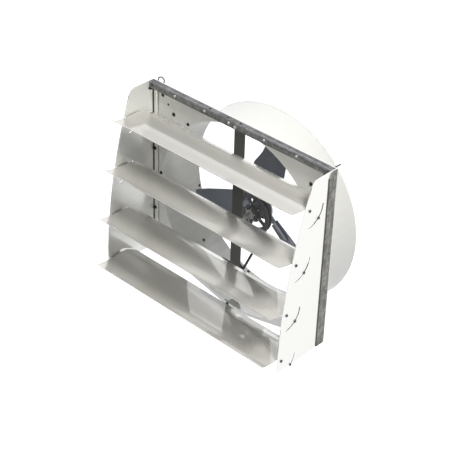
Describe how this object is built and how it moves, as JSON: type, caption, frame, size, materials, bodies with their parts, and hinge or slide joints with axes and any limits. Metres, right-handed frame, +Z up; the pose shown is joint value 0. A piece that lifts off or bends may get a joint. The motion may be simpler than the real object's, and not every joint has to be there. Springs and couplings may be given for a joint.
{
  "type": "mounted fan",
  "caption": "Hanging belt-driven propeller fan: a round drum behind a square panel, with tilting full-width louvres between two bulged side plates on its front.",
  "frame": {"origin": "halfway between the centres of the two hanging eyes", "axes": "+Z up, +X across the fan to the right as seen from the louvred front, +Y to the open rear of the drum"},
  "size_m": [1.052, 0.6328, 1.0012],
  "materials": {
    "white_plastic": "satin",
    "white_paint": "gloss",
    "louvre_paint": "gloss",
    "galvanised": "dull",
    "dark_steel": "matte",
    "blade_metal": "satin",
    "arm_metal": "satin",
    "cast_metal": "matte",
    "bright_steel": "bright",
    "black_bolt": "dark",
    "belt_rubber": "matte",
    "motor_paint": "satin",
    "gland_plastic": "matte"
  },
  "bodies": {
    "housing": {"housing_panel": "white_plastic", "fan_drum": "white_plastic", "frame_top_bar": "galvanised", "frame_side_strip_left": "galvanised", "frame_side_strip_right": "galvanised", "hanging_eye_left": "bright_steel", "hanging_eye_right": "bright_steel", "side_plate_left": "white_paint", "side_plate_right": "white_paint", "centre_strut": "dark_steel", "strut_bolt_top": "black_bolt", "strut_bolt_foot": "black_bolt", "shaft_carrier": "dark_steel", "fan_shaft": "bright_steel", "shaft_nut": "bright_steel", "drive_belt": "belt_rubber", "motor_body": "motor_paint", "motor_front_cap": "motor_paint", "motor_rear_cap": "motor_paint", "motor_bracket": "dark_steel", "motor_terminal_box": "motor_paint", "motor_cable_gland": "gland_plastic"},
    "fan_rotor": {"bearing_front": "bright_steel", "bearing_rear": "bright_steel", "fan_pulley": "cast_metal", "propeller_spider": "arm_metal", "fan_blade_1": "blade_metal", "fan_blade_2": "blade_metal", "fan_blade_3": "blade_metal"},
    "motor_rotor": {"motor_shaft": "bright_steel", "motor_pulley": "cast_metal"},
    "louvre_1_body": {"louvre_1": "louvre_paint", "louvre_1_bracket_left": "bright_steel", "louvre_1_bracket_right": "bright_steel", "louvre_1_pivot_bolt_left": "black_bolt", "louvre_1_pivot_bolt_right": "black_bolt", "louvre_1_lock_bolt_left": "black_bolt", "louvre_1_lock_bolt_right": "black_bolt"},
    "louvre_2_body": {"louvre_2": "louvre_paint", "louvre_2_bracket_left": "bright_steel", "louvre_2_bracket_right": "bright_steel", "louvre_2_pivot_bolt_left": "black_bolt", "louvre_2_pivot_bolt_right": "black_bolt", "louvre_2_lock_bolt_left": "black_bolt", "louvre_2_lock_bolt_right": "black_bolt"},
    "louvre_3_body": {"louvre_3": "louvre_paint", "louvre_3_bracket_left": "bright_steel", "louvre_3_bracket_right": "bright_steel", "louvre_3_pivot_bolt_left": "black_bolt", "louvre_3_pivot_bolt_right": "black_bolt", "louvre_3_lock_bolt_left": "black_bolt", "louvre_3_lock_bolt_right": "black_bolt"},
    "louvre_4_body": {"louvre_4": "louvre_paint", "louvre_4_bracket_left": "bright_steel", "louvre_4_bracket_right": "bright_steel", "louvre_4_pivot_bolt_left": "black_bolt", "louvre_4_pivot_bolt_right": "black_bolt", "louvre_4_lock_bolt_left": "black_bolt", "louvre_4_lock_bolt_right": "black_bolt"}
  },
  "joints": [
    {"name": "fan_spin", "type": "hinge", "parent": "housing", "child": "fan_rotor", "pos_m": [0, -0.022, -0.5], "axis": [0, 1, 0], "continuous": true},
    {"name": "motor_spin", "type": "hinge", "parent": "housing", "child": "motor_rotor", "pos_m": [-0.09, 0.082, -0.85889], "axis": [0, 1, 0], "continuous": true},
    {"name": "louvre_1_tilt", "type": "hinge", "parent": "housing", "child": "louvre_1_body", "pos_m": [0, -0.18237, -0.1195], "axis": [1, 0, 0], "range_deg": [-42, 42]},
    {"name": "louvre_2_tilt", "type": "hinge", "parent": "housing", "child": "louvre_2_body", "pos_m": [0, -0.24521, -0.3529], "axis": [1, 0, 0], "range_deg": [-37, 47]},
    {"name": "louvre_3_tilt", "type": "hinge", "parent": "housing", "child": "louvre_3_body", "pos_m": [0, -0.28499, -0.5863], "axis": [1, 0, 0], "range_deg": [-40, 44]},
    {"name": "louvre_4_tilt", "type": "hinge", "parent": "housing", "child": "louvre_4_body", "pos_m": [0, -0.30172, -0.8197], "axis": [1, 0, 0], "range_deg": [-4, 39]}
  ],
  "couplings": [
    {"joint": "motor_spin", "follows": "fan_spin", "ratio": 3.2021}
  ]
}
